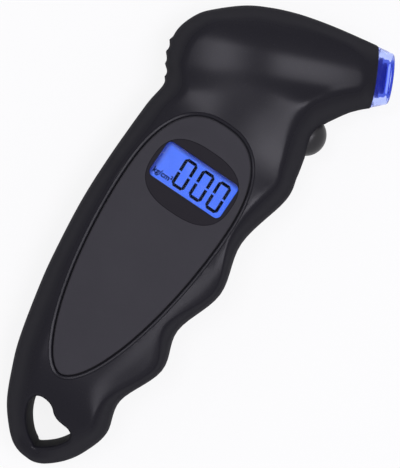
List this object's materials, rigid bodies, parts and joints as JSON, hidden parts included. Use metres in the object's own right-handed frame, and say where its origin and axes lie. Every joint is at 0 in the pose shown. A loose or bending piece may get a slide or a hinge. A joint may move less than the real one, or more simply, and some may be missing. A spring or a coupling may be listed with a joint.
{
  "type": "digital tire pressure gauge",
  "caption": "Pistol-shaped digital tire pressure gauge with finger grooves, backlit display, clear valve nozzle, side button, keyring eye and a coin-slot battery cap.",
  "frame": {"origin": "under the middle of the outline, on the surface that the gauge lies on", "axes": "+Z out of the display, +Y from the tail to the head, +X along the reading, towards the nozzle"},
  "size_m": [0.0602, 0.1496, 0.028],
  "materials": {
    "case_plastic": "satin moulded ABS",
    "trim_plastic": "fine matte ABS",
    "lens_plastic": "smoked acrylic with a dark printed border",
    "display_glass": "blue backlit liquid crystal cell",
    "white_plastic": "satin",
    "light_guide": "clear light guide",
    "black_rubber": "matte",
    "circuit_board": "solder mask",
    "chip_epoxy": "moulded epoxy",
    "component_ceramic": "ceramic and tinned ends",
    "sensor_plastic": "satin",
    "silicone": "translucent silicone",
    "tip_plastic": "clear blue polycarbonate",
    "brass": "bright",
    "led_resin": "clear resin",
    "wire_pvc": "extruded",
    "button_plastic": "satin",
    "switch_plastic": "satin",
    "cell_steel": "plated",
    "screw_steel": "zinc plated"
  },
  "bodies": {
    "case": {"front_shell": "case_plastic", "rear_shell": "case_plastic", "face_panel": "trim_plastic", "display_lens": "lens_plastic", "lcd_glass": "display_glass", "lcd_frame": "white_plastic", "backlight": "light_guide", "zebra_strips": "black_rubber", "main_board": "circuit_board", "controller_chip": "chip_epoxy", "board_parts": "component_ceramic", "pressure_sensor": "sensor_plastic", "air_tube": "silicone", "nozzle_barrel": "case_plastic", "nozzle_tip": "tip_plastic", "valve_seal": "black_rubber", "depressor_pin": "brass", "nozzle_leds": "led_resin", "led_wires": "wire_pvc", "tact_switch": "switch_plastic", "button_cells": "cell_steel", "top_contact": "brass", "case_screws": "screw_steel", "board_screws": "screw_steel"},
    "button": {"trigger_button": "button_plastic"},
    "plunger": {"switch_plunger": "white_plastic"},
    "cap": {"battery_cap": "case_plastic", "cap_seal": "black_rubber", "cap_contact": "brass"}
  },
  "joints": [
    {"name": "button_press", "type": "slide", "parent": "case", "child": "button", "axis": [-1, 0, 0], "range_m": [0, 0.0008], "stiffness_N_per_m": 2000},
    {"name": "plunger_press", "type": "slide", "parent": "case", "child": "plunger", "axis": [-1, 0, 0], "range_m": [0, 0.0008]},
    {"name": "cap_twist", "type": "hinge", "parent": "case", "child": "cap", "pos_m": [-0.00326, -0.02083, 0.0004], "axis": [0, 0, 1], "range_deg": [0, 60]}
  ],
  "couplings": [
    {"joint": "plunger_press", "follows": "button_press", "ratio": 1}
  ]
}
